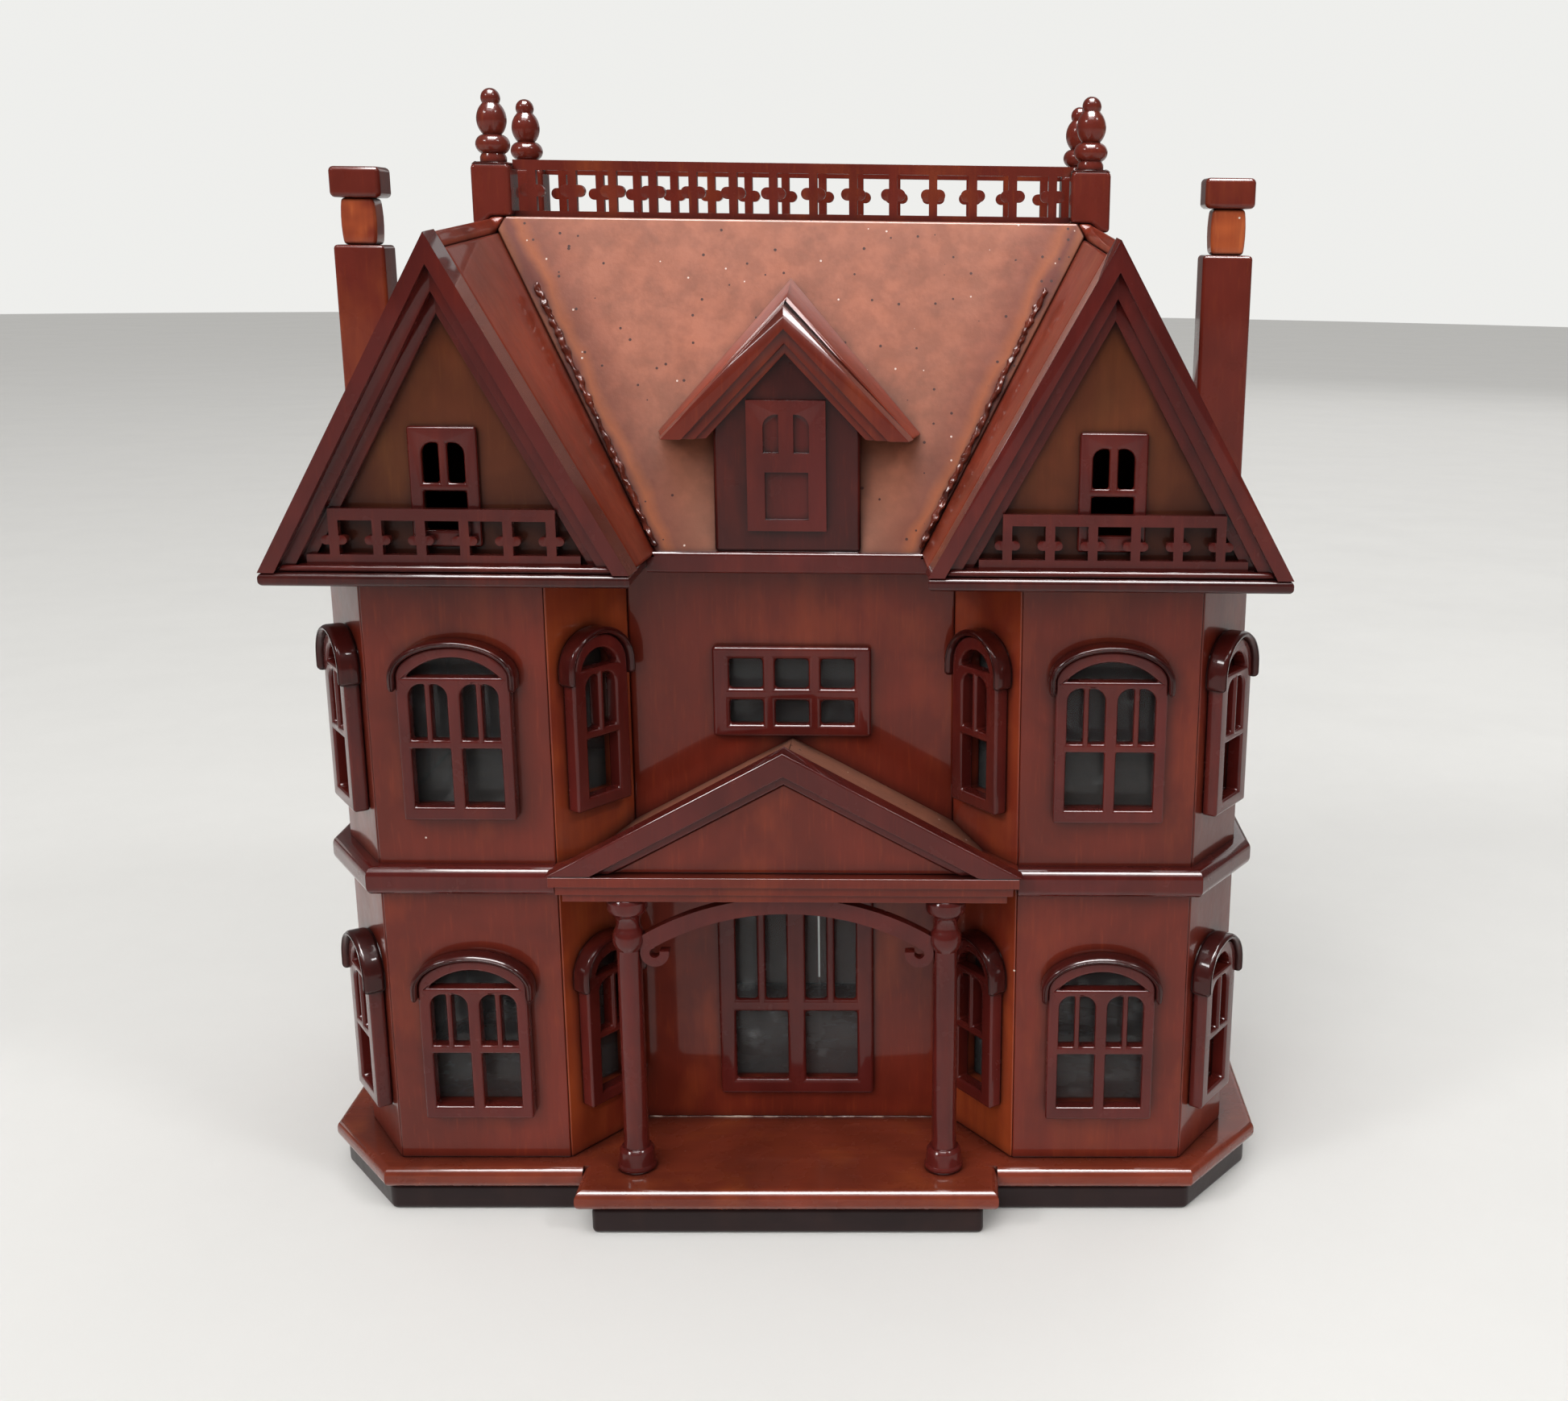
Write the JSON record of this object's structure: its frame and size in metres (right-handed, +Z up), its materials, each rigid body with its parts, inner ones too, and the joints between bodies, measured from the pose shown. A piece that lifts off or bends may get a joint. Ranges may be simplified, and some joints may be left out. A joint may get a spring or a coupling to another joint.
{
  "type": "wooden dollhouse",
  "caption": "Small varnished wooden dollhouse with half-octagon bays, a pillared porch, a steep flat-topped roof with gables and a dormer, and hinged doors that open its back.",
  "frame": {"origin": "middle of the footprint, on the surface the house stands on", "axes": "+Z up, +X to the right seen from the front, +Y from the front to the back"},
  "size_m": [0.118, 0.0638, 0.1326],
  "materials": {
    "wall_varnish": "glossy red-brown varnish on fine-grained wood",
    "trim_varnish": "glossy dark mahogany varnish",
    "turned_varnish": "glossy mahogany varnish on turned and sawn pieces",
    "roof_varnish": "satin varnish with dark specks",
    "base_varnish": "glossy orange-brown varnish",
    "plinth_stain": "dark brown stain",
    "gable_stain": "olive-brown satin varnish",
    "plain_wood": "thin brown stain",
    "clear_film": "clear glossy film",
    "brass": "aged brass"
  },
  "bodies": {
    "house": {"attic_floor": "plain_wood", "attic_window_frames": "trim_varnish", "balcony_ledges": "trim_varnish", "balcony_railings": "trim_varnish", "base_board": "base_varnish", "bay_front_window_frames": "trim_varnish", "bay_side_window_frames": "trim_varnish", "belt_courses": "trim_varnish", "chimney_caps": "turned_varnish", "chimney_necks": "turned_varnish", "chimney_shafts": "turned_varnish", "dormer_block": "trim_varnish", "dormer_rakes": "trim_varnish", "dormer_roof": "roof_varnish", "dormer_window_frame": "trim_varnish", "eave_fascias": "trim_varnish", "entablature": "trim_varnish", "front_deck_railing": "trim_varnish", "gable_bases": "trim_varnish", "gable_rakes": "trim_varnish", "gable_walls": "gable_stain", "hall_wall": "wall_varnish", "hall_window_frame": "trim_varnish", "hinge_pins": "brass", "left_bay_front_wall": "wall_varnish", "left_bay_inner_wall": "wall_varnish", "left_bay_outer_wall": "wall_varnish", "left_gable_roof": "roof_varnish", "left_side_roof": "roof_varnish", "left_side_wall": "wall_varnish", "main_roof_front": "roof_varnish", "main_roof_rear": "roof_varnish", "partition_walls": "plain_wood", "pediment_panel": "wall_varnish", "pediment_rakes": "trim_varnish", "plinth": "plinth_stain", "porch_arch": "trim_varnish", "porch_columns": "turned_varnish", "porch_floor": "base_varnish", "porch_plinth": "plinth_stain", "porch_roof": "roof_varnish", "porch_window_frame": "trim_varnish", "post_finials": "turned_varnish", "rear_deck_railing": "trim_varnish", "right_bay_front_wall": "wall_varnish", "right_bay_inner_wall": "wall_varnish", "right_bay_outer_wall": "wall_varnish", "right_gable_roof": "roof_varnish", "right_side_roof": "roof_varnish", "right_side_wall": "wall_varnish", "roof_deck": "roof_varnish", "roof_posts": "turned_varnish", "upstairs_floor": "plain_wood", "window_film": "clear_film", "window_hoods": "trim_varnish"},
    "left_back_door": {"left_back_door": "wall_varnish", "left_door_knob": "brass"},
    "right_back_door": {"right_back_door": "wall_varnish", "right_door_knob": "brass"}
  },
  "joints": [
    {"name": "left_door_hinge", "type": "hinge", "parent": "house", "child": "left_back_door", "pos_m": [-0.0537, 0.029, 0.0422], "axis": [0, 0, 1], "range_deg": [0, 170]},
    {"name": "right_door_hinge", "type": "hinge", "parent": "house", "child": "right_back_door", "pos_m": [0.0537, 0.029, 0.0422], "axis": [0, 0, 1], "range_deg": [-170, 0]}
  ]
}
